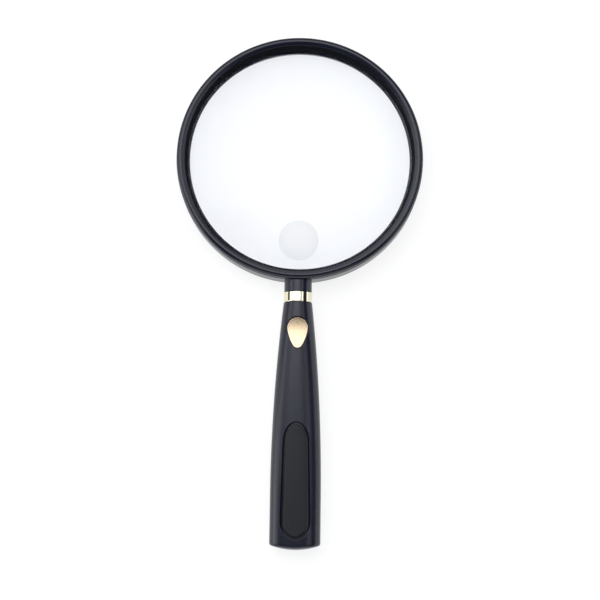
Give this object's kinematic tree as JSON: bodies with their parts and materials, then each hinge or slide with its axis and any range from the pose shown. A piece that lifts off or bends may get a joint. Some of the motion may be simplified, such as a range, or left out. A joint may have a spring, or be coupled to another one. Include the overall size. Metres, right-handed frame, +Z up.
{
  "type": "magnifying glass",
  "caption": "Round hand magnifier lying flat: glass lens with a small stronger lens, black rim, gold ferrule, and a tapered handle that screws off.",
  "frame": {"origin": "under the middle of the whole object, on the surface that it lies on", "axes": "+Z up, along the lens's optical axis, out of the front of the lens; +Y along the handle towards the lens; +X to the right"},
  "size_m": [0.0966, 0.2, 0.013],
  "materials": {
    "rim_plastic": "satin",
    "bezel_plastic": "satin",
    "gasket_rubber": "matte",
    "lens_glass": "polished",
    "spot_glass": "polished",
    "stud_steel": "zinc plated",
    "ferrule_gold": "polished",
    "handle_plastic": "satin",
    "insert_brass": "machined",
    "badge_gold": "coined, satin",
    "adhesive_film": "matte",
    "grip_rubber": "soft matte",
    "screw_steel": "zinc plated"
  },
  "bodies": {
    "lens_head": {"rim_body": "rim_plastic", "front_bezel": "bezel_plastic", "lens_gasket": "gasket_rubber", "main_lens": "lens_glass", "spot_lens": "spot_glass", "neck_stud": "stud_steel"},
    "ferrule_ring": {"ferrule": "ferrule_gold"},
    "handle": {"handle_front_shell": "handle_plastic", "handle_rear_shell": "handle_plastic", "threaded_insert": "insert_brass", "thumb_badge": "badge_gold", "badge_adhesive": "adhesive_film", "front_grip_pad": "grip_rubber", "rear_grip_pad": "grip_rubber", "front_pad_adhesive": "adhesive_film", "rear_pad_adhesive": "adhesive_film", "shell_screw_upper": "screw_steel", "shell_screw_lower": "screw_steel"}
  },
  "joints": [
    {"name": "ferrule_draw", "type": "slide", "parent": "lens_head", "child": "ferrule_ring", "axis": [0, -1, 0], "range_m": [0, 0.0064]},
    {"name": "handle_unscrew", "type": "hinge", "parent": "ferrule_ring", "child": "handle", "pos_m": [0, -0.0052, 0.0065], "axis": [0, -1, 0], "range_deg": [0, 2880]}
  ],
  "couplings": [
    {"joint": "ferrule_draw", "follows": "handle_unscrew", "m_per_rad": 0.00012732}
  ]
}
